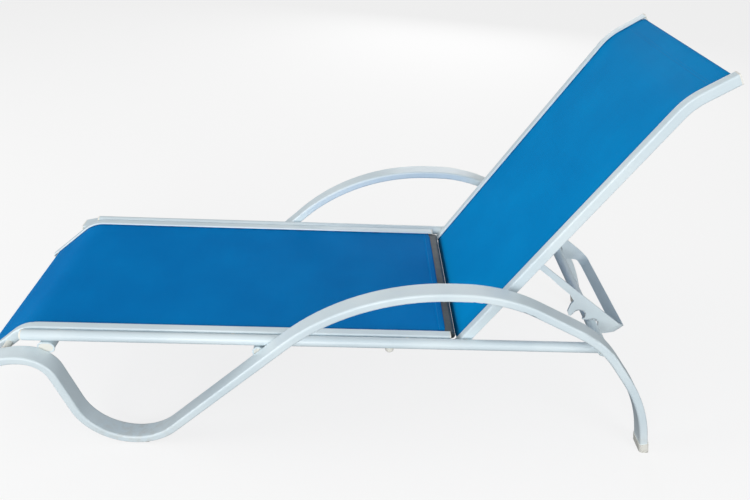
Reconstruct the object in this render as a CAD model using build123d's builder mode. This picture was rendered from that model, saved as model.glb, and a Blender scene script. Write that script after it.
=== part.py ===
from build123d import *
import os
from math import atan2, cos, degrees, hypot, radians, sin, tan

os.makedirs("parts", exist_ok=True)

# A sling sun lounger in powder-coated aluminium with an adjustable back.
# Sizes are in millimetres and degrees. +X runs to the head end, +Z is up, and the origin
# lies on the floor at the middle of the overall box. The lounger is the same on both sides.

# Driving dimensions
overall_length = 1650
sling_width = 453
rail_height = 288
arm_height = 462
back_angle = 58.4
hinge_x = 337

# Side strips: flat tube with rounded corners, bent on its flat side
strip_width = 46
strip_thick = 20
strip_round = 5
strip_wall = 2
strip_front_drop = 29.5
strip_flat = 72
strip_droop_run = 48
strip_droop = 14
droop_radius = 90
knee_radius = 66
leg_angle = 74.2
skid_radius = 134
knee_setback = 204.4206
rise_angle = 44.1
arm_rear_share = 0.4785
rear_knee_shares = (0.7676, 0.733)
ankle_share = 0.328
foot_lean = 14.5
arm_bend_shares = (0.64, 0.34, 0.30, 0.67)

# Round tubes of the base
tube_dia = 25
tube_wall = 1.5
rail_overhang = 58
side_gap = 0.3
cope_gap = 0.1
front_tube_size = (36, 26)
front_tube_setback = 6.6
mid_tube_offset = 8.6
bar_setback = 13
plug_depth = 6
plug_fit = 0.05

# Sling rails: extrusion with a cord groove near the fabric side and a hollow chamber below
sling_rail_width = 22
sling_rail_depth = 24
sling_rail_round = 4
sling_rail_wall = 2
hinge_offset = 2
sling_level = 7
groove_inset = 5.5
groove_radius = 3.5
groove_mouth = 2.6
chamber_top = 1
chamber_round = 1.5
waterfall_angle = 40
waterfall_length = 176
waterfall_radius = 80
seat_rear_gap = 36
back_tail = 22
back_straight = 690
headrest_turn = 25
headrest_length = 95
headrest_radius = 120

# Slings: woven fabric with a round cord in each side hem
fabric_thick = 1
hem_radius = 3.2
hem_bore = 2.5
cord_radius = 2.3
front_hem_trim = 6
rear_hem_gap = 49
head_hem_trim = 1
back_hem_tail = 18.5

# Spreader bars that hold the sling rails apart
spreader_gap = 0.3
spreader_radius = 9
front_spreader_trim = 20
dark_spreader_size = (42, 18)
dark_spreader_gap = 43.7
dark_spreader_trim = 0.3
back_spreader_place = 22
head_spreader_trim = 10
spigot_radius = 4
spigot_fit = 0.05

# Hinge and screws
bolt_radius = 3
bolt_fit = 0.05
screw_fit = 0.1
bolt_head_radius = 6
bolt_head_height = 4
bolt_head_round = 2
bolt_end = 14.5
bush_radius = 4.5
bush_fit = 0.02
washer_radius = 7
washer_thick = 0.8
washer_gap = 0.2
insert_radius = 4.4
insert_fit = 0.05
insert_length = 12
seat_screw_shares = (-0.73, -0.25, 0.24)
front_bolt_radius = 4
front_bolt_reach = 15
front_bolt_head = 7
front_spacer_radius = 8

# Caps, feet and pads
cap_thick = 3
cap_depth = 6
cap_fit = 0.2
dome_height = 6
dome_round = 5
foot_wall = 2
foot_fit = 0.1
foot_floor = 3
foot_height = 28
glide_thick = 2.5
glide_length = 60
glide_width = 34
bumper_radius = 10
bumper_height = 10
bumper_round = 5
bumper_setback = 180
bumper_core = 4

# Rack: U-shaped notched prop that hangs from a rod across the back
rod_place = 229.5
rod_drop = 4.5
rod_radius = 4
rod_fit = 0.02
rack_half_width = 172.25
rack_sheet = 4.5
rack_bend = 38
eye_radius = 10
eye_fit = 0.05
collar_radius = 7
collar_length = 6
collar_gap = 0.3
notch_clearance = 4.5
notch_gap = 0.3
spare_notch_shares = (0.841, -0.029)
spare_notch_clearance = 3
overrun = 5

# Places worked out from the sizes above
half_length = overall_length / 2
rail_inner_y = sling_width / 2
rail_mid_y = rail_inner_y + sling_rail_width / 2
rail_outer_y = rail_inner_y + sling_rail_width
groove_y = rail_inner_y + groove_inset
tube_radius = tube_dia / 2
washer_space = washer_thick + 2 * washer_gap
lower_rail_y = rail_outer_y + washer_space + tube_radius
lower_rail_inner_y = lower_rail_y - tube_radius
strip_inner_y = lower_rail_y + tube_radius + side_gap
strip_y = strip_inner_y + strip_width / 2
half_depth = sling_rail_depth / 2
fabric_under = sling_level - fabric_thick / 2
sides = {"left": -1, "right": 1}


def toward(angle):
    """Unit direction at an angle up from +X, in a vertical plane along the lounger."""
    return cos(radians(angle)), sin(radians(angle))


def moved(point, angle, distance):
    """Point reached from another one along a direction."""
    along, up = toward(angle)
    return point[0] + distance * along, point[1] + distance * up


def run_between(one, other):
    """Length and angle of the run from one point to another."""
    along = other[0] - one[0]
    up = other[1] - one[1]
    return hypot(along, up), degrees(atan2(up, along))


def reach_height(point, angle, height):
    """Point where the line from a point at an angle comes to a height."""
    along, up = toward(angle)
    return point[0] + (height - point[1]) * along / up, height


def crossing(one, one_angle, other, other_angle):
    """Point where two lines cross."""
    ax, ay = toward(one_angle)
    bx, by = toward(other_angle)
    gap_x = other[0] - one[0]
    gap_y = other[1] - one[1]
    return moved(one, one_angle, (gap_x * by - gap_y * bx) / (ax * by - ay * bx))


def bend_radius(before, corner, after, share):
    """Radius whose arc starts at a share of the shorter run that meets at the corner."""
    run_in, angle_in = run_between(corner, before)
    run_out, angle_out = run_between(corner, after)
    opening = abs((angle_in - angle_out + 180) % 360 - 180)
    return share * min(run_in, run_out) * tan(radians(opening / 2))


def shortened(points, start, end):
    """The same path with both ends drawn in along their runs."""
    first = moved(points[0], run_between(points[0], points[1])[1], start)
    last = moved(points[-1], run_between(points[-1], points[-2])[1], end)
    return [first, *points[1:-1], last]


def side_plane(origin, angle):
    """Vertical plane along the lounger: local x at the angle, local y on its upper side."""
    along, up = toward(angle)
    return Plane(origin=(origin[0], 0, origin[1]), x_dir=(along, 0, up), z_dir=(0, -1, 0))


def across(line, share=0):
    """Section plane of a path: local x is +Y, local y the upper side of the path."""
    return Plane(origin=line @ share, x_dir=(0, 1, 0), z_dir=line % share)


def pin(base, spot, radius, start, end, mode=Mode.ADD):
    """Round pin or hole along Y at a spot of a side plane, from one y to another."""
    with BuildSketch(base.offset(-start)) as section:
        with Locations(spot):
            Circle(radius)
    extrude(section.sketch, amount=start - end, mode=mode)


def both_pins(base, spot, radius, start, end, mode=Mode.ADD):
    """The same pin or hole on both sides of the lounger."""
    for side in sides.values():
        pin(base, spot, radius, side * start, side * end, mode)


def button_heads(base, spot, radius, seat):
    """Round-edged heads on the inner side of both rails, seated at one distance from the middle."""
    for side in sides.values():
        pin(base, spot, radius, side * (seat - bolt_head_height), side * seat)
        fillet(edges(Select.LAST).sort_by(lambda edge: abs(edge.center().Y))[0], bolt_head_round)


def ring(base, spot, outer, bore, start, end):
    """Washer, bush or collar along Y on both sides of the lounger."""
    for side in sides.values():
        with BuildSketch(base.offset(-side * start)) as section:
            with Locations(spot):
                Circle(outer)
                Circle(bore, mode=Mode.SUBTRACT)
        extrude(section.sketch, amount=side * (start - end))


def finish(piece, name):
    """Name a finished piece and write it."""
    piece.part.label = name
    export_step(piece.part, f"parts/{name}.step")


# Side strip path, from the front end over the knee, skid, arm and rear leg to the foot.
# The front end carries the sling rails, so the knee lies a set drop below them. The skid arc
# rests on its glide, and that sets the height of its corner on the line of the front leg.
strip_front_height = rail_height - strip_front_drop
knee = (knee_setback - half_length, strip_front_height)
leg_back = 180 - leg_angle
skid_half = (leg_back + rise_angle) / 2
skid_open = (leg_back - rise_angle) / 2
skid_reach = skid_radius / sin(radians(skid_open))
skid_height = glide_thick + strip_thick / 2 + skid_radius
skid_corner = reach_height(knee, leg_back, skid_height - skid_reach * sin(radians(skid_half)))
skid_centre = moved(skid_corner, skid_half, skid_reach)
droop_corner = (knee[0] - strip_flat, strip_front_height)
strip_front = moved(droop_corner, 180 + strip_droop, strip_droop_run)
shoulder = reach_height(skid_corner, rise_angle, arm_height)
arm_rear = (arm_rear_share * half_length, arm_height)
rear_knee = (rear_knee_shares[0] * half_length, rear_knee_shares[1] * arm_height)
foot_half = strip_thick / 2 + foot_wall + foot_fit
foot_x = half_length - foot_half / cos(radians(foot_lean))
ankle = reach_height((foot_x, 0), 90 + foot_lean, ankle_share * arm_height)
strip_end_height = foot_floor + strip_thick / 2 * sin(radians(foot_lean))
strip_end = reach_height((foot_x, 0), 90 + foot_lean, strip_end_height)
strip_points = [
    strip_front,
    droop_corner,
    knee,
    skid_corner,
    shoulder,
    arm_rear,
    rear_knee,
    ankle,
    strip_end,
]
arm_corners = zip(strip_points[3:], strip_points[4:], strip_points[5:], arm_bend_shares)
arm_radii = [bend_radius(*corner) for corner in arm_corners]
strip_radii = [droop_radius, knee_radius, skid_radius, *arm_radii]
with BuildLine(Plane.XZ) as strip_line:
    FilletPolyline(*strip_points, radius=strip_radii)

# Heights and places of the cross members
lower_rail_start = knee[0] - rail_overhang
front_tube_x = knee[0] - front_tube_setback
under_rail = rail_height - tube_radius
front_tube_height = under_rail - front_tube_size[1] / 2
mid_tube_height = under_rail - tube_radius
mid_strip_height = mid_tube_height - mid_tube_offset
mid_tube_x = reach_height(shoulder, rise_angle, mid_strip_height)[0]
leg_slope = run_between(rear_knee, ankle)[1]
bar = (reach_height(rear_knee, leg_slope, rail_height)[0] - bar_setback, rail_height)

# Seat rail path, from the foot end up the waterfall bend and back to the hinge
seat_cap_run = waterfall_length - cap_thick
seat_bend_x = half_depth * sin(radians(waterfall_angle))
seat_bend_x += waterfall_length * cos(radians(waterfall_angle)) - half_length
seat_bend = (seat_bend_x, rail_height)
seat_front = moved(seat_bend, 180 + waterfall_angle, seat_cap_run)
seat_rear = (hinge_x - seat_rear_gap - cap_thick, rail_height)
seat_points = [seat_front, seat_bend, seat_rear]
with BuildLine(Plane.XZ) as seat_line:
    FilletPolyline(*seat_points, radius=waterfall_radius)

# Back rail path, in the plane of the back: local x runs up the back from the hinge
hinge = (hinge_x, rail_height)
back_plane = side_plane(hinge, back_angle)
back_bottom = (cap_thick - back_tail, hinge_offset)
back_bend = (back_straight, hinge_offset)
back_head = moved(back_bend, -headrest_turn, headrest_length - cap_thick)
back_points = [back_bottom, back_bend, back_head]
with BuildLine(back_plane) as back_line:
    FilletPolyline(*back_points, radius=headrest_radius)

# Rack pivot, and the plane of the rack: local x runs from the pivot to the fixed bar
rod_spot = (rod_place, -rod_drop)
rod_run, rod_angle = run_between((0, 0), rod_spot)
rod = moved(hinge, back_angle + rod_angle, rod_run)
rack_reach, rack_angle = run_between(rod, bar)
rack_plane = side_plane(rod, rack_angle)
spreader_level = fabric_under - spreader_gap - spreader_radius
dark_spreader_level = fabric_under - spreader_gap - dark_spreader_size[1] / 2
screw_xs = [share * half_length for share in seat_screw_shares]
under_bend = moved(seat_bend, waterfall_angle - 90, hinge_offset)
front_bolt = crossing(under_bend, 180 + waterfall_angle, droop_corner, 180 + strip_droop)
front_spread = shortened(seat_points, front_spreader_trim, 0)[0]
head_spread = shortened(back_points, 0, head_spreader_trim)[-1]
front_spread = moved(front_spread, 90 + waterfall_angle, spreader_level)
head_spread = moved(head_spread, 90 - headrest_turn, spreader_level)
dark_spread = (hinge_x - dark_spreader_gap, rail_height + dark_spreader_level)
back_spread = (back_spreader_place, hinge_offset + spreader_level)


def strip_section(side, shrink):
    """Section of a side strip, drawn in by a wall."""
    width = strip_width - 2 * shrink
    thick = strip_thick - 2 * shrink
    with Locations((side * strip_y, 0)):
        RectangleRounded(width, thick, strip_round - shrink)


def strip_hollow(side):
    """Bore of a side strip, as a cut in its section."""
    width = strip_width - 2 * strip_wall
    thick = strip_thick - 2 * strip_wall
    with Locations((side * strip_y, 0)):
        RectangleRounded(width, thick, strip_round - strip_wall, mode=Mode.SUBTRACT)


def chamber(side, gap, mode=Mode.ADD):
    """Hollow chamber of a sling rail, or the plug that fits it with a gap."""
    low = sling_rail_wall - half_depth
    width = sling_rail_width - 2 * sling_rail_wall - 2 * gap
    height = chamber_top - low - 2 * gap
    with Locations((side * rail_mid_y, (chamber_top + low) / 2)):
        RectangleRounded(width, height, chamber_round, mode=mode)


def rail_outer(side):
    """Outer section of a sling rail."""
    with Locations((side * rail_mid_y, 0)):
        RectangleRounded(sling_rail_width, sling_rail_depth, sling_rail_round)


def rail_section(side):
    """Sling rail: rounded box with a cord groove open to the sling, and a chamber."""
    mouth = groove_inset + overrun
    rail_outer(side)
    chamber(side, 0, Mode.SUBTRACT)
    with Locations((side * groove_y, sling_level)):
        Circle(groove_radius, mode=Mode.SUBTRACT)
    with Locations((side * (groove_y - mouth / 2), sling_level)):
        Rectangle(mouth, groove_mouth, mode=Mode.SUBTRACT)


# Side strips, one bent tube each
for side_name, side in sides.items():
    with BuildPart() as side_strip:
        with BuildSketch(across(strip_line.line)):
            strip_section(side, 0)
            strip_hollow(side)
        sweep(path=strip_line.wire())
        inner_wall = side * (strip_inner_y - overrun)
        inner_end = side * (strip_inner_y + front_bolt_reach)
        pin(Plane.XZ, front_bolt, front_bolt_radius + screw_fit, inner_wall, inner_end, Mode.SUBTRACT)
    finish(side_strip, f"side_strip_{side_name}")

# Lower rails: round tube along each side, coped onto the rear cross tube
for side_name, side in sides.items():
    with BuildPart() as lower_rail:
        rail_start = Plane(origin=(lower_rail_start, side * lower_rail_y, rail_height), z_dir=(1, 0, 0))
        with BuildSketch(rail_start):
            Circle(tube_radius)
            Circle(tube_radius - tube_wall, mode=Mode.SUBTRACT)
        extrude(amount=bar[0] - lower_rail_start)
        cope_end = side * (lower_rail_y + tube_dia)
        cope_start = side * (lower_rail_y - tube_dia)
        pin(Plane.XZ, bar, tube_radius + cope_gap, cope_start, cope_end, Mode.SUBTRACT)
        hole_start = side * (lower_rail_inner_y - overrun)
        for spot in [hinge, *[(x, rail_height) for x in screw_xs]]:
            pin(Plane.XZ, spot, insert_radius + insert_fit, hole_start, side * lower_rail_y, Mode.SUBTRACT)
    finish(lower_rail, f"lower_rail_{side_name}")

# Cross members of the base, welded between the inner edges of the side strips
with BuildPart() as front_cross_tube:
    with BuildSketch(Plane.XZ.offset(-strip_inner_y)):
        with Locations((front_tube_x, front_tube_height)):
            SlotOverall(*front_tube_size)
            SlotOverall(*[size - 2 * tube_wall for size in front_tube_size], mode=Mode.SUBTRACT)
    extrude(amount=2 * strip_inner_y)
finish(front_cross_tube, "front_cross_tube")

for name, spot in {"mid_cross_tube": (mid_tube_x, mid_tube_height), "rear_cross_tube": bar}.items():
    with BuildPart() as cross_tube:
        pin(Plane.XZ, spot, tube_radius, strip_inner_y, -strip_inner_y)
        pin(Plane.XZ, spot, tube_radius - tube_wall, strip_inner_y, -strip_inner_y, Mode.SUBTRACT)
    finish(cross_tube, name)

# Plugs in the ends of the cross members, flush with them
plug_start = strip_inner_y - plug_depth
with BuildPart() as cross_member_plugs:
    for side in sides.values():
        with BuildSketch(Plane.XZ.offset(-side * plug_start)):
            with Locations((front_tube_x, front_tube_height)):
                SlotOverall(*[size - 2 * tube_wall - 2 * plug_fit for size in front_tube_size])
            with Locations((mid_tube_x, mid_tube_height), bar):
                Circle(tube_radius - tube_wall - plug_fit)
        extrude(amount=-side * plug_depth)
finish(cross_member_plugs, "cross_member_plugs")

# Seat rails: straight beside the lower rails, bent down at the foot end
for side_name, side in sides.items():
    with BuildPart() as seat_rail:
        with BuildSketch(across(seat_line.line)):
            rail_section(side)
        sweep(path=seat_line.wire())
        near = side * (rail_inner_y - overrun)
        wall = side * (rail_inner_y + sling_rail_wall)
        far = side * (rail_outer_y + overrun)
        for x in screw_xs:
            pin(Plane.XZ, (x, rail_height), bolt_radius + screw_fit, near, far, Mode.SUBTRACT)
        pin(Plane.XZ, front_bolt, front_bolt_radius + screw_fit, near, far, Mode.SUBTRACT)
        for spot in (front_spread, dark_spread):
            pin(Plane.XZ, spot, spigot_radius + spigot_fit, near, wall, Mode.SUBTRACT)
    finish(seat_rail, f"seat_rail_{side_name}")

# Back rails: straight from the hinge, turned back at the headrest
for side_name, side in sides.items():
    with BuildPart() as back_rail:
        with BuildSketch(across(back_line.line)):
            rail_section(side)
        sweep(path=back_line.wire())
        near = side * (rail_inner_y - overrun)
        wall = side * (rail_inner_y + sling_rail_wall)
        inside = side * (rail_outer_y - sling_rail_wall)
        far = side * (rail_outer_y + overrun)
        pin(Plane.XZ, hinge, bush_radius + bush_fit, near, far, Mode.SUBTRACT)
        pin(Plane.XZ, rod, rod_radius + rod_fit, near, inside, Mode.SUBTRACT)
        for spot in (back_spread, head_spread):
            pin(back_plane, spot, spigot_radius + spigot_fit, near, wall, Mode.SUBTRACT)
    finish(back_rail, f"back_rail_{side_name}")

# Slings: fabric across the rails, with a tube hem round the cord in each groove
seat_fabric_points = shortened(seat_points, front_hem_trim, rear_hem_gap - seat_rear_gap - cap_thick)
with BuildLine(Plane.XZ) as seat_fabric_line:
    FilletPolyline(*seat_fabric_points, radius=waterfall_radius)
back_fabric_points = shortened(back_points, back_tail - cap_thick - back_hem_tail, head_hem_trim)
with BuildLine(back_plane) as back_fabric_line:
    FilletPolyline(*back_fabric_points, radius=headrest_radius)
hems = [(side * groove_y, sling_level) for side in sides.values()]
fabric_lines = {"seat": seat_fabric_line, "back": back_fabric_line}
for name, fabric_line in fabric_lines.items():
    with BuildPart() as sling:
        with BuildSketch(across(fabric_line.line)):
            with Locations((0, sling_level)):
                Rectangle(2 * groove_y, fabric_thick)
            with Locations(*hems):
                Circle(hem_radius)
                Circle(hem_bore, mode=Mode.SUBTRACT)
        sweep(path=fabric_line.wire())
    finish(sling, f"{name}_sling")

    with BuildPart() as hem_cords:
        with BuildSketch(across(fabric_line.line)):
            with Locations(*hems):
                Circle(cord_radius)
        sweep(path=fabric_line.wire())
    finish(hem_cords, f"{name}_hem_cords")

# Spreader bars between the sling rails, each with a spigot through the rail's inner wall
spreader_bars = {
    "seat_front_spreader": (Plane.XZ, front_spread),
    "back_lower_spreader": (back_plane, back_spread),
    "back_top_spreader": (back_plane, head_spread),
}
spigot_end = rail_inner_y + sling_rail_wall
for name, (base, spot) in spreader_bars.items():
    with BuildPart() as spreader:
        pin(base, spot, spreader_radius, rail_inner_y, -rail_inner_y)
        pin(base, spot, spigot_radius, spigot_end, -spigot_end)
    finish(spreader, name)

with BuildPart() as seat_rear_spreader:
    dark_end = rail_inner_y - dark_spreader_trim
    with BuildSketch(Plane.XZ.offset(-dark_end)):
        with Locations(dark_spread):
            SlotOverall(*dark_spreader_size)
    extrude(amount=2 * dark_end)
    pin(Plane.XZ, dark_spread, spigot_radius, spigot_end, -spigot_end)
finish(seat_rear_spreader, "seat_rear_spreader")

# Back hinge: bolts fixed in the lower rails, bushes and washers for the back rails to turn on
head_seat = rail_inner_y - washer_space
bolt_tip = lower_rail_inner_y + bolt_end
with BuildPart() as hinge_bolts:
    button_heads(Plane.XZ, hinge, bolt_head_radius, head_seat)
    both_pins(Plane.XZ, hinge, bolt_radius, head_seat, bolt_tip)
finish(hinge_bolts, "hinge_bolts")

with BuildPart() as hinge_bushes:
    ring(Plane.XZ, hinge, bush_radius, bolt_radius + bolt_fit, rail_inner_y, rail_outer_y)
finish(hinge_bushes, "hinge_bushes")

with BuildPart() as hinge_washers:
    for start in (head_seat + washer_gap, rail_outer_y + washer_gap):
        ring(Plane.XZ, hinge, washer_radius, bolt_radius + bolt_fit, start, start + washer_thick)
finish(hinge_washers, "hinge_washers")

# Screws through the seat rails into the lower rails, with a spacer between the two
with BuildPart() as seat_rail_screws:
    for x in screw_xs:
        spot = (x, rail_height)
        button_heads(Plane.XZ, spot, bolt_head_radius, rail_inner_y)
        both_pins(Plane.XZ, spot, bolt_radius, rail_inner_y, bolt_tip)
finish(seat_rail_screws, "seat_rail_screws")

with BuildPart() as seat_rail_spacers:
    for x in screw_xs:
        spot = (x, rail_height)
        ring(Plane.XZ, spot, washer_radius, bolt_radius + screw_fit, rail_outer_y, lower_rail_inner_y)
finish(seat_rail_spacers, "seat_rail_spacers")

insert_start = lower_rail_inner_y + washer_gap
with BuildPart() as threaded_inserts:
    for spot in [hinge, *[(x, rail_height) for x in screw_xs]]:
        insert_end = insert_start + insert_length
        ring(Plane.XZ, spot, insert_radius, bolt_radius + bush_fit, insert_start, insert_end)
finish(threaded_inserts, "threaded_inserts")

# Front joint: a bolt and a spacer tie each strip's front end to the seat rail
with BuildPart() as front_bolts:
    bolt_tip_y = strip_inner_y + front_bolt_reach
    button_heads(Plane.XZ, front_bolt, front_bolt_head, rail_inner_y)
    both_pins(Plane.XZ, front_bolt, front_bolt_radius, rail_inner_y, bolt_tip_y)
finish(front_bolts, "front_bolts")

with BuildPart() as front_spacers:
    spacer_bore = front_bolt_radius + screw_fit
    ring(Plane.XZ, front_bolt, front_spacer_radius, spacer_bore, rail_outer_y, strip_inner_y)
finish(front_spacers, "front_spacers")

# End caps of the sling rails: a plate over the end and a plug in the chamber
rail_ends = {
    "seat_rail_front_caps": (across(seat_line.line, 0), 1),
    "seat_rail_rear_caps": (across(seat_line.line, 1), -1),
    "back_rail_lower_caps": (across(back_line.line, 0), 1),
    "back_rail_head_caps": (across(back_line.line, 1), -1),
}
for name, (end_plane, inward) in rail_ends.items():
    with BuildPart() as rail_caps:
        for side in sides.values():
            with BuildSketch(end_plane):
                rail_outer(side)
            extrude(amount=-inward * cap_thick)
            with BuildSketch(end_plane):
                chamber(side, cap_fit)
            extrude(amount=inward * cap_depth)
    finish(rail_caps, name)

# Domed plugs in the front ends of the lower rails
with BuildPart() as lower_rail_caps:
    for side in sides.values():
        start = Plane(origin=(lower_rail_start, side * lower_rail_y, rail_height), z_dir=(-1, 0, 0))
        with BuildSketch(start):
            Circle(tube_radius)
        extrude(amount=dome_height)
        with BuildSketch(start):
            Circle(tube_radius - tube_wall - cap_fit)
        extrude(amount=-cap_depth)
    fillet(lower_rail_caps.faces().group_by(Axis.X)[0].edges(), dome_round)
finish(lower_rail_caps, "lower_rail_caps")

# Plugs in the front ends of the side strips
with BuildPart() as strip_front_caps:
    for side in sides.values():
        with BuildSketch(across(strip_line.line)):
            strip_section(side, 0)
        extrude(amount=-cap_thick)
        with BuildSketch(across(strip_line.line)):
            strip_section(side, strip_wall + cap_fit)
        extrude(amount=cap_depth)
finish(strip_front_caps, "strip_front_caps")

# Rear foot caps: sleeves over the leg ends, cut level with the floor
foot_start = reach_height((foot_x, 0), 90 + foot_lean, -foot_height)
foot_lean_run = foot_height / cos(radians(foot_lean))
up_leg = toward(90 + foot_lean)
foot_plane = Plane(origin=(foot_start[0], 0, foot_start[1]), x_dir=(0, 1, 0), z_dir=(up_leg[0], 0, up_leg[1]))
foot_top = 2 * foot_lean_run
strip_stop = foot_lean_run + run_between((foot_x, 0), strip_end)[0]
with BuildPart() as rear_foot_caps:
    for side in sides.values():
        with BuildSketch(foot_plane):
            strip_section(side, -foot_wall - foot_fit)
        extrude(amount=foot_top)
    for side in sides.values():
        with BuildSketch(foot_plane.offset(strip_stop)):
            strip_section(side, -foot_fit)
        extrude(amount=foot_top, mode=Mode.SUBTRACT)
    split(bisect_by=Plane.XY, keep=Keep.TOP)
finish(rear_foot_caps, "rear_foot_caps")

# Skid glides: flat-bottomed pads under the lowest part of the skid arcs
with BuildPart() as skid_glides:
    for side in sides.values():
        with BuildSketch(Plane.XZ.offset(-side * strip_y + glide_width / 2)):
            with Locations((skid_centre[0], 0)):
                Rectangle(glide_length, strip_thick, align=(Align.CENTER, Align.MIN))
            with Locations(skid_centre):
                Circle(skid_radius + strip_thick / 2, mode=Mode.SUBTRACT)
        extrude(amount=-glide_width)
finish(skid_glides, "skid_glides")

# Stacking bumpers: domes saddled on the underside of the lower rails
bumper_x = hinge_x - bumper_setback
with BuildPart() as stacking_bumpers:
    for side in sides.values():
        foot = Plane(origin=(bumper_x, side * lower_rail_y, under_rail - bumper_height))
        with BuildSketch(foot):
            Circle(bumper_radius)
        extrude(amount=bumper_height + bumper_core)
    fillet(stacking_bumpers.faces().group_by(Axis.Z)[0].edges(), bumper_round)
    for side in sides.values():
        saddle = Plane(origin=(bumper_x - tube_dia, side * lower_rail_y, rail_height), z_dir=(1, 0, 0))
        with BuildSketch(saddle):
            Circle(tube_radius)
        extrude(amount=2 * tube_dia, mode=Mode.SUBTRACT)
finish(stacking_bumpers, "stacking_bumpers")

# Rack rod across the back, with collars on both sides of each rack plate
rod_end = rail_outer_y - sling_rail_wall
with BuildPart() as rack_rod:
    pin(Plane.XZ, rod, rod_radius, rod_end, -rod_end)
finish(rack_rod, "rack_rod")

plate_inner = rack_half_width - rack_sheet
with BuildPart() as rack_collars:
    outer_start = rack_half_width + collar_gap
    inner_start = plate_inner - collar_gap - collar_length
    for start in (outer_start, inner_start):
        ring(Plane.XZ, rod, collar_radius, rod_radius + rod_fit, start, start + collar_length)
finish(rack_collars, "rack_collars")

# Rack side view, in the rack's plane. The bar lies at one reach from the pivot, in a round
# notch that opens down and towards the pivot, so that the rack can leave the bar as the back
# goes down. The spare notch and the hook give the lower settings of the back.
notch_radius = tube_radius + notch_clearance
notch_shift = (notch_radius - tube_radius - notch_gap) * sin(radians(45))
notch = (rack_reach + notch_shift, -notch_shift)
notch_side = (notch[0] + notch_radius, notch[1])
notch_flank = moved(notch, 135, notch_radius)
spare_radius = tube_radius + spare_notch_clearance
spare_notch = tuple(share * rack_reach for share in spare_notch_shares)
spare_left = (spare_notch[0] - spare_radius, spare_notch[1])
tooth_tip = reach_height(notch_flank, 45, spare_notch[1])
comb_shares = [
    (1.298, 0.1935),
    (1.298, 0.092),
    (1.233, 0.092),
    (1.157, 0.007),
    (1.132, -0.069),
]
comb_radii = [7, 3, 10, 12, 6]
lobe_shares = [(0.799, -0.098), (0.738, -0.076), (0.691, -0.011), (0.680, 0.0325)]
lobe_radii = [4, 8, 6, 5]
neck_shares = [(0.593, 0.0434), (0.434, 0.029), (0.333, 0.0246), (0.217, 0.011)]
neck_radii = [20, 20, 20, 20]
notch_low = (notch_side[0], comb_shares[-1][1] * rack_reach)


def on_rack(shares):
    """Points of the rack's outline from shares of its reach."""
    return [(along * rack_reach, up * rack_reach) for along, up in shares]


rack_outline = [(0, eye_radius), *on_rack(comb_shares), notch_low, notch_side, notch, notch_flank]
rack_outline += [tooth_tip, spare_left, *on_rack(lobe_shares)]
rack_outline += [*on_rack(neck_shares), (0, -eye_radius)]
corner_radii = [0, *comb_radii, lobe_radii[0], 0, 0, 0, 0, 0, *lobe_radii, *neck_radii, 0]
rack_length = comb_shares[0][0] * rack_reach
band_plane = Plane(rack_plane.origin, x_dir=rack_plane.x_dir, z_dir=rack_plane.y_dir)


def rack_band(end, half_width, bend, mode):
    """Space inside a U seen square to the rack's edge, open at the pivot and round at the far end."""
    with BuildSketch(band_plane) as band:
        with Locations((-overrun - eye_radius, 0)):
            length = end + overrun + eye_radius
            Rectangle(length, 2 * half_width, align=(Align.MIN, Align.CENTER))
        fillet(band.vertices().group_by(Axis.X)[-1], bend)
    extrude(band.sketch, amount=rack_reach, both=True, mode=mode)


with BuildPart() as rack:
    with BuildSketch(rack_plane.offset(-rack_half_width)):
        with BuildLine():
            FilletPolyline(*rack_outline, radius=corner_radii, close=True)
        make_face()
        Circle(eye_radius)
        Circle(rod_radius + eye_fit, mode=Mode.SUBTRACT)
        with Locations(notch):
            Circle(notch_radius, mode=Mode.SUBTRACT)
        with Locations(spare_notch):
            Circle(spare_radius, mode=Mode.SUBTRACT)
    extrude(amount=2 * rack_half_width)
    rack_band(rack_length, rack_half_width, rack_bend, Mode.INTERSECT)
    rack_band(rack_length - rack_sheet, plate_inner, rack_bend - rack_sheet, Mode.SUBTRACT)
finish(rack, "rack")

# Values that the record repeats
print("hinge", hinge, "rod", rod, "bar", bar, "reach", rack_reach, "rack angle", rack_angle)
print("knee", knee, "skid corner", skid_corner, "shoulder", shoulder, "front bolt", front_bolt)
print("foot x", foot_x, "strip y", strip_y, "mid tube x", mid_tube_x, "front tube x", front_tube_x)
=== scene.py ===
"""A sling sun lounger with a powder-coated aluminium frame, on a pale studio floor."""

from math import cos, exp, hypot, pi, radians, sin

import bmesh
import bpy
from mathutils import Matrix, Vector


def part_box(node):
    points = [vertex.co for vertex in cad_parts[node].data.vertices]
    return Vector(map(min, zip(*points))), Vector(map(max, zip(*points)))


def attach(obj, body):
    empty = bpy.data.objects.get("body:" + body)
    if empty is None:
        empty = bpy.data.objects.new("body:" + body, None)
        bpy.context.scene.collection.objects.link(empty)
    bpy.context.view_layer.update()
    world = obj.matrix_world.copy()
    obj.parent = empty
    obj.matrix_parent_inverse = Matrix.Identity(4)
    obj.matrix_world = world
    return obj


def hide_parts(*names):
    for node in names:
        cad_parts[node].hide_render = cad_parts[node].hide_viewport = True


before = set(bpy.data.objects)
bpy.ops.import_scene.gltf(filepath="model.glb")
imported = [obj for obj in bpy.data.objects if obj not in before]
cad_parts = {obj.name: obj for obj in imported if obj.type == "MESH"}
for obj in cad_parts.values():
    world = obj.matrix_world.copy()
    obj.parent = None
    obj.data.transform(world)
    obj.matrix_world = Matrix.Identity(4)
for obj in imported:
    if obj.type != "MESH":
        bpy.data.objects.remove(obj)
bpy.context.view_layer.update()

# ---------------------------------------------------------------------------------------------
# Side strips, lower rails and cross members: bent and welded aluminium tube, powder-coated in
# a cool off-white. The coat has a fine orange peel, and dust gathers on it near the floor.


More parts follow.
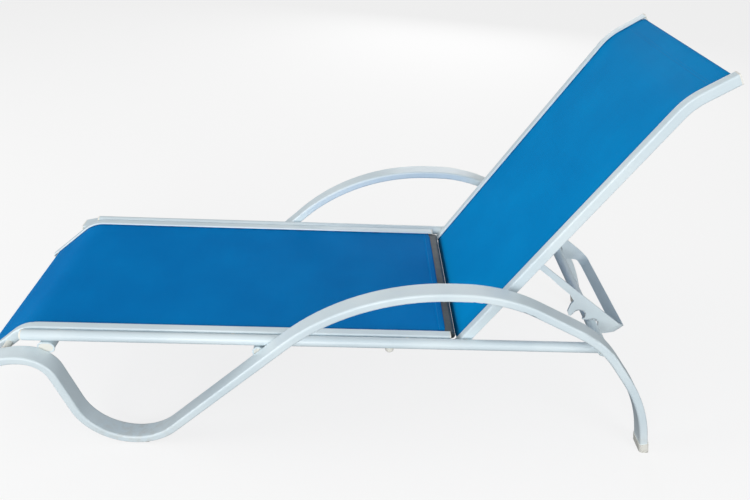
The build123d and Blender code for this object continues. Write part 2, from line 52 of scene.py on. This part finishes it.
class Signal:
    """An output of a material's nodes. Maths on signals adds Math nodes."""

    def __init__(self, tree, socket=None):
        self.tree = tree
        self.socket = socket

    def node(self, kind, settings, sockets, out=0):
        """Add a node with its settings, then the values or links of its sockets."""
        made = self.tree.nodes.new("ShaderNode" + kind)
        for name, value in settings.items():
            setattr(made, name, value)
        for name, value in sockets.items():
            if isinstance(value, Signal):
                self.tree.links.new(value.socket, made.inputs[name])
            else:
                made.inputs[name].default_value = value
        return Signal(self.tree, made.outputs[out])

    def maths(self, operation, one, other):
        return self.node("Math", {"operation": operation}, {0: one, 1: other})

    def __add__(self, other):
        return self.maths("ADD", self, other)

    __radd__ = __add__

    def __sub__(self, other):
        return self.maths("SUBTRACT", self, other)

    def __rsub__(self, other):
        return self.maths("SUBTRACT", other, self)

    def __mul__(self, other):
        return self.maths("MULTIPLY", self, other)

    __rmul__ = __mul__

    def wave(self, length):
        """A sine wave of this signal, from -1 to 1, with a length in metres."""
        return self.maths("SINE", self * (2 * pi / length), 0.0)

    def step(self, low, high):
        """0 below low, 1 above high, and smooth between."""
        settings = {"interpolation_type": "SMOOTHSTEP"}
        return self.node("MapRange", settings, {"Value": self, "From Min": low, "From Max": high})

    def tint(self, one, other):
        """The colour one where this signal is 0, and other where it is 1."""
        sockets = {0: self, 6: one, 7: other}
        return self.node("Mix", {"data_type": "RGBA", "clamp_factor": True}, sockets, out=2)

    def axes(self):
        """The three parts of a vector signal."""
        made = self.node("SeparateXYZ", {}, {"Vector": self})
        outputs = made.socket.node.outputs
        return [Signal(self.tree, outputs[i]) for i in range(3)]

    def grain(self, scale, detail=2.0, stretch=(1, 1, 1)):
        """Noise on a vector signal, with its scale per metre."""
        sockets = {"Vector": self, "Scale": stretch}
        placed = self.node("Mapping", {}, sockets)
        return self.node("TexNoise", {}, {"Vector": placed, "Scale": scale, "Detail": detail})

    def bump(self, strength, depth):
        """Surface normal raised by this signal, with its depth in metres."""
        sockets = {"Height": self, "Strength": strength, "Distance": depth}
        return self.node("Bump", {}, sockets)


def finish_of(name, look, **shader):
    """A material whose look function gives the signals that vary, beside fixed shader values."""
    material = bpy.data.materials.new(name)
    material.use_nodes = True
    tree = material.node_tree
    start = Signal(tree)
    surface = tree.nodes["Principled BSDF"]
    for socket, value in {**look(start), **shader}.items():
        socket = surface.inputs[socket.replace("_", " ")]
        if isinstance(value, Signal):
            tree.links.new(value.socket, socket)
        else:
            socket.default_value = value
    return material


def colour(red, green, blue):
    """A colour given as it looks on a screen, from 0 to 255, in the shader's linear scale."""
    shares = [level / 255 for level in (red, green, blue)]
    return [x / 12.92 if x <= 0.04045 else ((x + 0.055) / 1.055) ** 2.4 for x in shares] + [1.0]


def on_object(start):
    """Position on the piece, in metres, which moves with it."""
    return start.node("TexCoord", {}, {}, out=3)


COAT_LIGHT = colour(224, 237, 242)
COAT_SHADE = colour(212, 227, 234)
DUST = colour(196, 192, 182)
DUST_HEIGHT = 0.09
PATCHES_PER_METRE = 4.0
SPECKS_PER_METRE = 60.0
PEEL_PER_METRE = 620.0
PEEL_DEPTH = 0.0003


def coat_look(start):
    """Faint patches of tone, orange peel, and dust that thins out above the floor."""
    place = on_object(start)
    height = place.axes()[2]
    patches = place.grain(PATCHES_PER_METRE, 3.0).step(0.35, 0.65)
    dust = (1 - height.step(0.0, DUST_HEIGHT)) * place.grain(SPECKS_PER_METRE, 4.0).step(0.4, 0.7)
    peel = place.grain(PEEL_PER_METRE, 1.5)
    return {
        "Base_Color": (dust * 0.35).tint(patches.tint(COAT_LIGHT, COAT_SHADE), DUST),
        "Roughness": 0.3 + 0.12 * place.grain(35.0, 3.0) + 0.25 * dust,
        "Normal": peel.bump(0.12, PEEL_DEPTH),
    }


powder_coat = finish_of("off_white_powder_coat", coat_look, Coat_Weight=0.15, Coat_Roughness=0.2)


def give(material, *names):
    """Put a finish on CAD nodes that keep their shape."""
    for name in names:
        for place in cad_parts[name].material_slots:
            place.material = material


give(powder_coat, "side_strip_left", "side_strip_right", "lower_rail_left", "lower_rail_right")
give(powder_coat, "front_cross_tube", "mid_cross_tube", "rear_cross_tube")

# ---------------------------------------------------------------------------------------------
# Weld beads: the cross members are welded to the inner edges of the side strips, with a low
# rippled bead round each end, coated with the frame.

BEAD_RADIUS = 0.0019
BEAD_RIPPLE = 0.0003
BEAD_PITCH = 0.0028
BEAD_SINK = 0.0004
BEAD_SIDES = 10
BEAD_RINGS = 132


def new_piece(name, shape, material, body):
    """Turn a bmesh into a piece that rides on a body."""
    bmesh.ops.recalc_face_normals(shape, faces=shape.faces)
    mesh = bpy.data.meshes.new(name)
    shape.to_mesh(mesh)
    shape.free()
    mesh.materials.append(material)
    mesh.polygons.foreach_set("use_smooth", [True] * len(mesh.polygons))
    piece = bpy.data.objects.new(name, mesh)
    bpy.context.scene.collection.objects.link(piece)
    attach(piece, body)
    return piece


def skin(shape, rings, closed):
    """Join rings of vertices with faces; closed also joins the last ring to the first."""
    count = len(rings[0])
    pairs = list(zip(rings, rings[1:]))
    if closed:
        pairs.append((rings[-1], rings[0]))
    for one, other in pairs:
        for i in range(count):
            j = (i + 1) % count
            shape.faces.new((one[i], one[j], other[j], other[i]))
    if not closed:
        shape.faces.new(rings[0])
        shape.faces.new(list(reversed(rings[-1])))


def weld_round(shape, outline, y):
    """A rippled bead along a closed outline in the x-z plane at one y."""
    lengths = [hypot(b[0] - a[0], b[1] - a[1]) for a, b in zip(outline, outline[1:] + outline[:1])]
    run = 0.0
    rings = []
    for i, (x, z) in enumerate(outline):
        before, after = outline[i - 1], outline[(i + 1) % len(outline)]
        along = Vector((after[0] - before[0], 0, after[1] - before[1])).normalized()
        out = along.cross(Vector((0, 1, 0)))
        radius = BEAD_RADIUS + BEAD_RIPPLE * sin(2 * pi * run / BEAD_PITCH)
        centre = Vector((x, y, z))
        ring = []
        for k in range(BEAD_SIDES):
            turn = 2 * pi * k / BEAD_SIDES
            spot = centre + radius * (cos(turn) * out + sin(turn) * Vector((0, 1, 0)))
            ring.append(shape.verts.new(spot))
        rings.append(ring)
        run += lengths[i]
    skin(shape, rings, closed=True)


def slot_outline(x, z, width, depth):
    """Points round a flat-oval or round tube, seen along its length."""
    half_run = (width - depth) / 2
    radius = depth / 2
    spots = []
    for k in range(BEAD_RINGS):
        turn = 2 * pi * (k + 0.5) / BEAD_RINGS
        shift = half_run if cos(turn) > 0 else -half_run
        spots.append((x + shift + radius * cos(turn), z + radius * sin(turn)))
    return spots


def tube_middle(name):
    """Middle and size, in x and z, of a cross member."""
    low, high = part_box(name)
    middle, size = (low + high) / 2, high - low
    return middle.x, middle.z, size.x, size.z


STRIP_INNER_Y = 0.275
beads = bmesh.new()
for member in ("front_cross_tube", "mid_cross_tube", "rear_cross_tube"):
    for side in (-1, 1):
        weld_round(beads, slot_outline(*tube_middle(member)), side * (STRIP_INNER_Y - BEAD_SINK))
new_piece("cross_member_welds", beads, powder_coat, "frame")

# ---------------------------------------------------------------------------------------------
# Sling rails and spreader bars: extruded and drawn aluminium in the same coat. The spreader at the
# seat's rear edge is dark grey as painted shade, darkening the gap between the seat and the back.

give(powder_coat, "seat_rail_left", "seat_rail_right", "back_rail_left", "back_rail_right")
give(powder_coat, "seat_front_spreader", "back_lower_spreader", "back_top_spreader")

# Dark greys painted as the shade in the gap between the seat and the back.
GAP_SHADE_PALE = colour(74, 83, 88)
GAP_SHADE_DEEP = colour(58, 66, 71)


def gap_shade_look(start):
    """The same kind of coat in dark grey, with faint blotches: painted shade for the gap."""
    place = on_object(start)
    return {
        "Base_Color": place.grain(30.0, 4.0).step(0.3, 0.7).tint(GAP_SHADE_PALE, GAP_SHADE_DEEP),
        "Roughness": 0.42 + 0.16 * place.grain(90.0),
        "Normal": place.grain(PEEL_PER_METRE, 1.5).bump(0.15, PEEL_DEPTH),
    }


give(finish_of("gap_shade_dark_grey_coat", gap_shade_look), "seat_rear_spreader")

# ---------------------------------------------------------------------------------------------
# Rack and its rod: flat bar bent to a U with notched ends, coated with the frame, on a plain
# steel rod with nylon collars. The coat is rubbed where the notches take the cross tube.

RUBBED = colour(168, 172, 176)
RACK_NOTCHES = ((0.6582, 0.288), (0.6212, 0.313))
NOTCH_WEAR_RADIUS = 0.0165
WEAR_FADE = 0.003


def rack_look(start):
    """The frame's coat, rubbed through to metal in specks round each notch."""
    made = coat_look(start)
    place = on_object(start)
    x, _, z = place.axes()
    worn = 0.0
    for notch_x, notch_z in RACK_NOTCHES:
        dx, dz = x - notch_x, z - notch_z
        reach = start.maths("SQRT", dx * dx + dz * dz, 0.0)
        worn = worn + (1 - reach.step(NOTCH_WEAR_RADIUS, NOTCH_WEAR_RADIUS + WEAR_FADE))
    worn = worn * place.grain(240.0, 4.0).step(0.35, 0.6)
    made["Base_Color"] = (worn * 0.7).tint(made["Base_Color"], RUBBED)
    made["Metallic"] = worn * 0.6
    return made


give(finish_of("rubbed_powder_coat", rack_look), "rack")

STEEL_LIGHT = colour(196, 199, 202)
STEEL_SHADE = colour(172, 176, 180)
DRAWN_LINES_PER_METRE = 900.0
DRAWN_LINE_DEPTH = 0.0001


def steel_look(start):
    """Fine drawn lines along y, the length of the rod and the hinge bolts."""
    place = on_object(start)
    lines = place.grain(DRAWN_LINES_PER_METRE, 2.0, stretch=(1, 0.05, 1))
    return {
        "Base_Color": lines.tint(STEEL_LIGHT, STEEL_SHADE),
        "Roughness": 0.28 + 0.15 * lines,
        "Normal": lines.bump(0.1, DRAWN_LINE_DEPTH),
    }


steel = finish_of("zinc_plated_steel", steel_look, Metallic=0.9)
give(steel, "rack_rod", "seat_rail_screws", "hinge_bolts", "front_bolts", "threaded_inserts")

# ---------------------------------------------------------------------------------------------
# Caps, feet, pads, spacers and bushes: moulded in white nylon, with a fine spark-eroded grain.
# The feet and the skid pads pick up scuffs and dirt from the floor.

NYLON_LIGHT = colour(240, 240, 234)
NYLON_SHADE = colour(229, 228, 219)
SCUFF = colour(150, 146, 136)
SCUFF_HEIGHT = 0.016
SPARK_GRAIN_PER_METRE = 1500.0
SPARK_GRAIN_DEPTH = 0.00015
NYLON_LIGHT_REACH = 0.002


def nylon_look(start):
    """Slightly uneven white with a spark-eroded grain, scuffed where it meets the floor."""
    place = on_object(start)
    height = place.axes()[2]
    scratches = place.grain(180.0, 5.0).step(0.38, 0.62)
    floor_dirt = (1 - height.step(0.0, SCUFF_HEIGHT)) * scratches
    clean = place.grain(25.0, 3.0).tint(NYLON_LIGHT, NYLON_SHADE)
    return {
        "Base_Color": (floor_dirt * 0.55).tint(clean, SCUFF),
        "Roughness": 0.45 + 0.12 * place.grain(80.0) + 0.2 * floor_dirt,
        "Normal": place.grain(SPARK_GRAIN_PER_METRE, 1.0).bump(0.14, SPARK_GRAIN_DEPTH),
    }


nylon = finish_of(
    "white_nylon", nylon_look, Subsurface_Weight=0.05, Subsurface_Radius=[NYLON_LIGHT_REACH] * 3
)
give(nylon, "rear_foot_caps", "skid_glides", "stacking_bumpers", "lower_rail_caps")
give(nylon, "strip_front_caps", "cross_member_plugs")
give(nylon, "seat_rail_front_caps", "seat_rail_rear_caps")
give(nylon, "back_rail_lower_caps", "back_rail_head_caps", "hinge_bushes", "hinge_washers")
give(nylon, "seat_rail_spacers", "front_spacers", "rack_collars")
give(nylon, "seat_hem_cords", "back_hem_cords")

# ---------------------------------------------------------------------------------------------
# Slings: blue PVC-coated polyester yarn in a basket weave, cut as one piece for the seat and
# one for the back. The side hems go round a cord in each rail's groove; the ends at the foot
# and the head are sewn into a sleeve round the spreader bar, and the others are turned over.

CLOTH = 0.0008
LAP_STEP = 0.0009
YARN_PAIR = 0.0022
SLING_LEVEL = 0.007
GROOVE_Y = 0.232
CORD_HEM = 0.00275
SLEEVE_HALF_WIDTH = 0.2235
SLEEVE_RADIUS = 0.0098
FOOT_SPREADER_INSET = 0.020
HEAD_SPREADER_INSET = 0.010
SPREADER_LEVEL = -0.0028
SLEEVE_LEAVES = radians(310)
SLEEVE_STEPS = 26
SLEEVE_CLOSES = (0.3, 0.6, 0.85)
LAP_START = 0.026
LAP_WIDTH = 0.016
LAP_ROWS = 4
HEM_WIDTH = 0.014
FOLD_STEPS = 6
FOLD_ROWS = 3
ROW_STEP = 0.012
COLUMNS = 30
HEM_SIDES = 10
HOLLOW_POWER = 0.6

# One blue cloth in two copies: the seat's darker as painted shade, the back's lighter as painted
# light.
SEAT_SHADED_BLUES = colour(0, 103, 173), colour(0, 123, 196), colour(2, 144, 214)
BACK_LIT_BLUES = colour(0, 118, 184), colour(0, 141, 210), colour(2, 160, 225)
# A band beside each rail: painted shade where the cloth meets the rail, blotched with soil.
RAIL_SHADE_AND_SOIL = colour(4, 72, 124)
RAIL_SHADE_FROM, RAIL_SHADE_TO = 0.214, 0.2262
STREAK_FINE, STREAK_LONG = 420, 6
WEAVE_DEPTH = 0.00025


def weave_look(start, blues):
    """A basket weave of paired yarns: three blues, from painted shade in gaps to painted light on
    crowns.
    """
    place = start.node("UVMap", {"uv_map": "weave"}, {})
    across, along, _ = place.axes()
    crossed = across.wave(YARN_PAIR) * along.wave(YARN_PAIR)
    warp = across.wave(YARN_PAIR / 2) * 0.5 + 0.5
    weft = along.wave(YARN_PAIR / 2) * 0.5 + 0.5
    over = crossed.step(-0.25, 0.25)
    yarn = over * warp + (1 - over) * weft
    long_streak = place.grain(1.0, 3.0, stretch=(STREAK_FINE, STREAK_LONG, 1))
    cross_streak = place.grain(1.0, 3.0, stretch=(STREAK_LONG, STREAK_FINE, 1))
    streak = over * long_streak + (1 - over) * cross_streak
    cloud = place.grain(5.0, 3.0).step(0.3, 0.7)
    # Painted shade in the gaps and painted light on the crowns, with the yarns' own streaks and
    # tone.
    crown_light_and_streaks = yarn * 0.55 + streak * 0.35 + cloud * 0.15
    base = crown_light_and_streaks.step(0.15, 0.55).tint(blues[0], blues[1])
    clean = crown_light_and_streaks.step(0.6, 1.05).tint(base, blues[2])
    # Painted shade beside the rails, in blotches of soil.
    beside_rail = place.maths("ABSOLUTE", across, 0.0).step(RAIL_SHADE_FROM, RAIL_SHADE_TO)
    rail_shade_and_soil = beside_rail * place.grain(45.0, 4.0).step(0.2, 0.7)
    return {
        "Base_Color": (rail_shade_and_soil * 0.6).tint(clean, RAIL_SHADE_AND_SOIL),
        "Roughness": 0.5 + 0.14 * streak + 0.1 * (1 - yarn),
        "Normal": (yarn + 0.3 * streak).bump(0.35, WEAVE_DEPTH),
    }


def weave_of(name, blues):
    """One sling's woven finish in its own blues: painted shade for the seat, painted light for the
    back.
    """
    return finish_of(name, lambda start: weave_look(start, blues), Specular_IOR_Level=0.03)


def polar(spot, angle, distance):
    """Point at a distance from another, at an angle up from +x."""
    return spot[0] + distance * cos(angle), spot[1] + distance * sin(angle)


class RailLine:
    """The middle line of a sling rail: a straight run, one bend and a second straight run."""

    def __init__(self, start, start_angle, run_to_bend, turn, run_after, radius):
        corner = polar(start, start_angle, run_to_bend)
        trim = radius * sin(abs(turn) / 2) / cos(turn / 2)
        self.start, self.start_angle, self.turn, self.radius = start, start_angle, turn, radius
        self.bend_from = run_to_bend - trim
        self.bend_to = self.bend_from + radius * abs(turn)
        self.length = self.bend_to + run_after - trim
        self.bend_end = polar(corner, start_angle + turn, trim)

    def spot(self, along, level):
        """Point in the x-z plane at a length along the line and a level on its upper side."""
        if along <= self.bend_from:
            foot, angle = polar(self.start, self.start_angle, along), self.start_angle
        elif along >= self.bend_to:
            angle = self.start_angle + self.turn
            foot = polar(self.bend_end, angle, along - self.bend_to)
        else:
            side = 1 if self.turn > 0 else -1
            bend_start = polar(self.start, self.start_angle, self.bend_from)
            centre = polar(bend_start, self.start_angle + side * pi / 2, self.radius)
            angle = self.start_angle + side * (along - self.bend_from) / self.radius
            foot = polar(centre, angle - side * pi / 2, self.radius)
        return polar(foot, angle + pi / 2, level)


def sleeve_rows(inset):
    """Rows of a sewn sleeve, as length from the rail's end and level: from the top layer over
    the spreader bar, round it, and back to lie under the top layer."""
    centre = (inset, SPREADER_LEVEL)
    sweep = SLEEVE_LEAVES - pi / 2
    turns = [pi / 2 + sweep * k / SLEEVE_STEPS for k in range(1, SLEEVE_STEPS + 1)]
    rows = [polar(centre, turn, SLEEVE_RADIUS) for turn in turns]
    last = rows[-1]
    lap = (inset + LAP_START, SLING_LEVEL - LAP_STEP)
    for share in SLEEVE_CLOSES:
        rows.append(tuple(a + share * (b - a) for a, b in zip(last, lap)))
    for k in range(1, LAP_ROWS + 1):
        rows.append((lap[0] + LAP_WIDTH * k / LAP_ROWS, lap[1]))
    return rows


def folded_rows(edge, upward):
    """Rows of an edge that is turned over once, as length from the rail's end and level."""
    side = 1 if upward else -1
    radius = LAP_STEP / 2
    centre = (edge + radius, SLING_LEVEL + side * radius)
    turns = [-side * (pi / 2 + pi * k / FOLD_STEPS) for k in range(1, FOLD_STEPS + 1)]
    rows = [polar(centre, turn, radius) for turn in turns]
    for k in range(1, FOLD_ROWS + 1):
        rows.append((edge + radius + HEM_WIDTH * k / FOLD_ROWS, SLING_LEVEL + side * LAP_STEP))
    return rows


def sling(name, weave, line, first_edge, first_rows, last_edge, last_rows, sag_of):
    """Cloth along a rail line: level across, with a cord hem at each side, and an edge finish
    at each end. Rows of an edge finish are given from the end where they are."""
    shape = bmesh.new()
    weave_place = shape.loops.layers.uv.new("weave")
    inner = [SLEEVE_HALF_WIDTH * (2 * k / COLUMNS - 1) for k in range(COLUMNS + 1)]
    seam = GROOVE_Y - CORD_HEM
    between = (SLEEVE_HALF_WIDTH + seam) / 2
    flat = [-seam, -between, *inner, between, seam]
    first_column = 2
    places = {}

    def hem(side):
        """Offsets in y and level round the cord, from the flat cloth and back to it."""
        turns = [pi - 2 * pi * k / (HEM_SIDES + 1) for k in range(1, HEM_SIDES + 1)]
        return [(side * (GROOVE_Y + CORD_HEM * cos(t)), CORD_HEM * sin(t)) for t in turns]

    def row(along, level, run, whole):
        """One row of vertices across the cloth, with its hems where it is a whole row."""
        made = []
        if whole:
            hems = {side: hem(side) for side in (-1, 1)}
            columns = [*reversed(hems[-1]), *[(y, 0.0) for y in flat], *hems[1]]
        else:
            columns = [(y, 0.0) for y in inner]
        across = 0.0
        before = None
        for y, rise in columns:
            deep = sag_of(along) * max(0.0, 1 - (y / seam) ** 2)
            x, z = line.spot(along, level + rise - deep)
            vertex = shape.verts.new((x, y, z))
            across += 0.0 if before is None else hypot(y - before[0], rise - before[1])
            before = (y, rise)
            places[vertex] = [across, run]
            made.append(vertex)
        middle = (places[made[0]][0] + places[made[-1]][0]) / 2
        for vertex in made:
            places[vertex][0] -= middle
        return made

    def join(one, other):
        """Faces between two rows of the same length."""
        for i in range(len(one) - 1):
            shape.faces.new((one[i], one[i + 1], other[i + 1], other[i]))

    span = line.length - last_edge - first_edge
    count = round(span / ROW_STEP)
    runs = [span * k / count for k in range(count + 1)]
    rows = [row(first_edge + run, SLING_LEVEL, run, True) for run in runs]
    for one, other in zip(rows, rows[1:]):
        join(one, other)
    hem_count = HEM_SIDES + first_column
    ends = (
        (rows[0], first_edge, first_rows, -1, 0.0, lambda length: length),
        (rows[-1], last_edge, last_rows, 1, span, lambda length: line.length - length),
    )
    for edge_row, edge, extra, way, run, along_of in ends:
        held = edge_row[hem_count : hem_count + COLUMNS + 1]
        before = (edge, SLING_LEVEL)
        for length, level in extra:
            run += way * hypot(length - before[0], level - before[1])
            before = (length, level)
            fresh = row(along_of(length), level, run, False)
            join(held, fresh)
            held = fresh
    for face in shape.faces:
        for loop in face.loops:
            loop[weave_place].uv = places[loop.vert]
    body = "frame" if name.startswith("seat") else "back"
    piece = new_piece(name, shape, weave, body)
    thick = piece.modifiers.new("cloth", "SOLIDIFY")
    thick.thickness, thick.offset, thick.use_even_offset = CLOTH, 0.0, True
    with bpy.context.temp_override(object=piece, active_object=piece):
        bpy.ops.object.modifier_apply(modifier=thick.name)
    return piece


def hollow_at(share):
    """Depth of a sling's hollow, as a share: none at its ends and all of it halfway."""
    return sin(pi * min(max(share, 0), 1)) ** HOLLOW_POWER


def bend_at(line, along, spread):
    """1 at the middle of a rail line's bend, and less away from it on both sides."""
    away = (along - (line.bend_from + line.bend_to) / 2) / spread
    return exp(-away * away)


# The seat's rail line runs from the foot end over the waterfall bend to the hinge.
WATERFALL = radians(40)
WATERFALL_RUN = 0.173
WATERFALL_RADIUS = 0.080
SEAT_START = (-0.814992, 0.176798)
SEAT_RUN = 0.980463
seat_line = RailLine(SEAT_START, WATERFALL, WATERFALL_RUN, -WATERFALL, SEAT_RUN, WATERFALL_RADIUS)
SEAT_SAG = 0.0045
SEAT_BEND_SAG = 0.0045
SEAT_BEND_SPREAD = 0.07
SEAT_TAUT_REAR = 0.05
SEAT_REAR_EDGE = 0.010


def seat_sag(along):
    """Depth of the hollow across the seat: none at its ends, most at the waterfall bend."""
    hollow = seat_line.length - SEAT_TAUT_REAR - FOOT_SPREADER_INSET
    sag = SEAT_SAG * hollow_at((along - FOOT_SPREADER_INSET) / hollow)
    return sag + SEAT_BEND_SAG * bend_at(seat_line, along, SEAT_BEND_SPREAD)


seat_cloth = sling(
    "seat_cloth",
    weave_of("seat_shaded_blue_weave", SEAT_SHADED_BLUES),
    seat_line,
    FOOT_SPREADER_INSET,
    sleeve_rows(FOOT_SPREADER_INSET),
    SEAT_REAR_EDGE,
    folded_rows(SEAT_REAR_EDGE, upward=True),
    seat_sag,
)
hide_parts("seat_sling")

# The back's rail line starts below the hinge and turns back at the headrest.
HINGE = (0.337, 0.288)
BACK_ANGLE = radians(58.4)
BACK_TAIL = 0.019
BACK_OFFSET = 0.002
BACK_RUN = 0.709
HEADREST = radians(25)
HEADREST_RUN = 0.092
HEADREST_RADIUS = 0.120
back_start = polar(polar(HINGE, BACK_ANGLE, -BACK_TAIL), BACK_ANGLE + pi / 2, BACK_OFFSET)
back_line = RailLine(back_start, BACK_ANGLE, BACK_RUN, -HEADREST, HEADREST_RUN, HEADREST_RADIUS)
BACK_SAG = 0.002
BACK_BEND_SAG = 0.004
BACK_BEND_SPREAD = 0.06
BACK_TAUT_HEAD = 0.03
BACK_LOWER_EDGE = 0.0005


def back_sag(along):
    """Depth of the hollow across the back, small where the rack folds in behind it."""
    hollow = back_line.length - HEAD_SPREADER_INSET
    fade = min(max((hollow - along) / BACK_TAUT_HEAD, 0), 1)
    sag = BACK_SAG * hollow_at(along / hollow)
    return sag + BACK_BEND_SAG * fade * bend_at(back_line, along, BACK_BEND_SPREAD)


back_cloth = sling(
    "back_cloth",
    weave_of("back_lit_blue_weave", BACK_LIT_BLUES),
    back_line,
    BACK_LOWER_EDGE,
    folded_rows(BACK_LOWER_EDGE, upward=False),
    HEAD_SPREADER_INSET,
    sleeve_rows(HEAD_SPREADER_INSET),
    back_sag,
)
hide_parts("back_sling")

# ---------------------------------------------------------------------------------------------
# Stitching: two rows of bonded polyester thread hold each sleeve, and one row each turned-over
# edge. Each stitch is a short length of thread that dips into the cloth at its ends.

STITCH_PITCH = 0.0042
STITCH_LENGTH = 0.0034
STITCH_SHARES = (-0.5, -0.36, 0.0, 0.36, 0.5)
STITCH_CROWN = 0.6
STITCH_DIP = 6.4
STITCH_TIP = 0.45
SEAM_MARGIN = 0.004
SEAM_GAP = 0.006
HEM_SEAM = HEM_WIDTH * 0.75
THREAD_RADIUS = 0.00035
THREAD_SIDES = 6
TWIST_PITCH = 0.0006
TWIST_DEPTH = 0.0001
THREAD_LIGHT = colour(24, 138, 204)
THREAD_SHADE = colour(4, 112, 178)


def thread_look(start):
    """Blue thread with the twist of its strands."""
    place = on_object(start)
    return {
        "Base_Color": place.grain(900.0, 3.0).tint(THREAD_LIGHT, THREAD_SHADE),
        "Roughness": 0.5 + 0.2 * place.grain(400.0),
        "Normal": place.axes()[1].wave(TWIST_PITCH).bump(0.3, TWIST_DEPTH),
    }


thread = finish_of("blue_thread", thread_look)


def stitch_row(shape, line, along, level, sag):
    """A row of stitches across the cloth."""
    count = int(2 * (SLEEVE_HALF_WIDTH - SEAM_MARGIN) / STITCH_PITCH)
    for stitch in range(count):
        middle = (stitch - (count - 1) / 2) * STITCH_PITCH
        rings = []
        for share in STITCH_SHARES:
            y = middle + share * STITCH_LENGTH
            deep = sag * max(0.0, 1 - (y / GROOVE_Y) ** 2)
            arch = THREAD_RADIUS * (STITCH_CROWN - STITCH_DIP * share * share)
            radius = THREAD_RADIUS * (STITCH_TIP if abs(share) == STITCH_SHARES[-1] else 1.0)
            ring = []
            for k in range(THREAD_SIDES):
                turn = 2 * pi * k / THREAD_SIDES
                rise = level + arch + radius * sin(turn) - deep
                x, z = line.spot(along + radius * cos(turn), rise)
                ring.append(shape.verts.new((x, y, z)))
            rings.append(ring)
        skin(shape, rings, closed=False)


top_face = SLING_LEVEL + CLOTH / 2
seat_thread = bmesh.new()
SEAMS = (LAP_START + SEAM_MARGIN, LAP_START + SEAM_MARGIN + SEAM_GAP)
for seam in SEAMS:
    along = FOOT_SPREADER_INSET + seam
    stitch_row(seat_thread, seat_line, along, top_face, seat_sag(along))
seat_hem_seam = seat_line.length - SEAT_REAR_EDGE - HEM_SEAM
stitch_row(seat_thread, seat_line, seat_hem_seam, top_face + LAP_STEP, seat_sag(seat_hem_seam))
new_piece("seat_stitches", seat_thread, thread, "frame")

back_thread = bmesh.new()
for seam in SEAMS:
    along = back_line.length - HEAD_SPREADER_INSET - seam
    stitch_row(back_thread, back_line, along, top_face, back_sag(along))
back_hem_seam = BACK_LOWER_EDGE + HEM_SEAM
stitch_row(back_thread, back_line, back_hem_seam, top_face, back_sag(back_hem_seam))
new_piece("back_stitches", back_thread, thread, "back")

# ---------------------------------------------------------------------------------------------
# Studio: a plain pale floor that keeps the shadow, in a pale surround. Five soft lights stand
# round and over the lounger, the strongest in front and at the foot end, and the camera is at
# the eye of the photograph.

FLOOR_SIZE = 40
bpy.ops.mesh.primitive_plane_add(size=FLOOR_SIZE, location=(0, 0, 0))
floor = bpy.context.object
floor.name = "studio_floor"
floor_finish = bpy.data.materials.new("studio_floor")
floor_finish.use_nodes = True
floor_tree = floor_finish.node_tree
floor_surface = floor_tree.nodes["Principled BSDF"]
floor_surface.inputs["Roughness"].default_value = 0.9
floor_surface.inputs["Specular IOR Level"].default_value = 0.0
floor_start = Signal(floor_tree)
seen = floor_start.node("LightPath", {}, {})
FLOOR_SEEN = (0.86, 0.86, 0.86, 1)
FLOOR_BOUNCE = (0.24, 0.25, 0.26, 1)
floor_tone = seen.tint(FLOOR_BOUNCE, FLOOR_SEEN)
floor_tree.links.new(floor_tone.socket, floor_surface.inputs["Base Color"])
glow = floor_start.node("Emission", {}, {"Color": (1, 1, 1, 1), "Strength": 1.0})
plain = Signal(floor_tree, floor_surface.outputs[0])
FLOOR_LIFT = 0.78
mixed = floor_start.node("MixShader", {}, {0: seen * FLOOR_LIFT, 1: plain, 2: glow})
floor_tree.links.new(mixed.socket, floor_tree.nodes["Material Output"].inputs["Surface"])
floor.data.materials.append(floor_finish)

world = bpy.data.worlds.new("studio_surround")
bpy.context.scene.world = world
world.use_nodes = True
world_start = Signal(world.node_tree)
surround = world.node_tree.nodes["Background"]
path = world_start.node("LightPath", {}, {})
SURROUND_LIGHT = 0.37
SURROUND_SEEN = 0.9
strength = path * (SURROUND_SEEN - SURROUND_LIGHT) + SURROUND_LIGHT
world.node_tree.links.new(strength.socket, surround.inputs["Strength"])
surround.inputs["Color"].default_value = (1, 1, 1, 1)


def softbox(name, spot, aim, size, power):
    """A square area light that faces a point."""
    light = bpy.data.lights.new(name, "AREA")
    light.shape, light.size, light.energy = "SQUARE", size, power
    lamp = bpy.data.objects.new(name, light)
    lamp.visible_camera = False
    bpy.context.scene.collection.objects.link(lamp)
    lamp.location = spot
    lamp.rotation_mode = "QUATERNION"
    lamp.rotation_quaternion = (Vector(aim) - Vector(spot)).to_track_quat("-Z", "Y")


softbox("front_light", (-0.6, -3.6, 1.3), (0, 0, 0.3), 2.0, 66)
softbox("foot_light", (-3.8, -0.5, 1.5), (0.3, 0, 0.5), 2.2, 68)
softbox("head_light", (2.4, -2.8, 1.4), (-0.1, 0, 0.3), 2.0, 36)
softbox("far_side_light", (0.8, 3.8, 1.6), (0, 0, 0.3), 2.0, 32)
softbox("top_light", (0, -0.3, 3.6), (0, 0, 0.4), 2.6, 5)

PHOTO_WIDTH = 750
FOCAL_PIXELS = 652.2
SENSOR = 36
EYE = Vector((0.0588, -1.4261, 1.2752))
YAW, PITCH, ROLL = 0.0452, 0.5618, 0.0524
forward = Vector((sin(YAW) * cos(PITCH), cos(YAW) * cos(PITCH), -sin(PITCH)))
level_right = Vector((cos(YAW), -sin(YAW), 0))
level_up = level_right.cross(forward)
right = level_right * cos(ROLL) + level_up * sin(ROLL)
up = level_up * cos(ROLL) - level_right * sin(ROLL)
lens = bpy.data.cameras.new("photo_view")
lens.sensor_width = SENSOR
lens.lens = FOCAL_PIXELS / PHOTO_WIDTH * SENSOR
lens.clip_end = 100
camera = bpy.data.objects.new("photo_view", lens)
bpy.context.scene.collection.objects.link(camera)
turned = Matrix((right, up, -forward)).transposed()
camera.matrix_world = Matrix.Translation(EYE) @ turned.to_4x4()
bpy.context.scene.camera = camera
bpy.context.scene.view_settings.view_transform = "Standard"
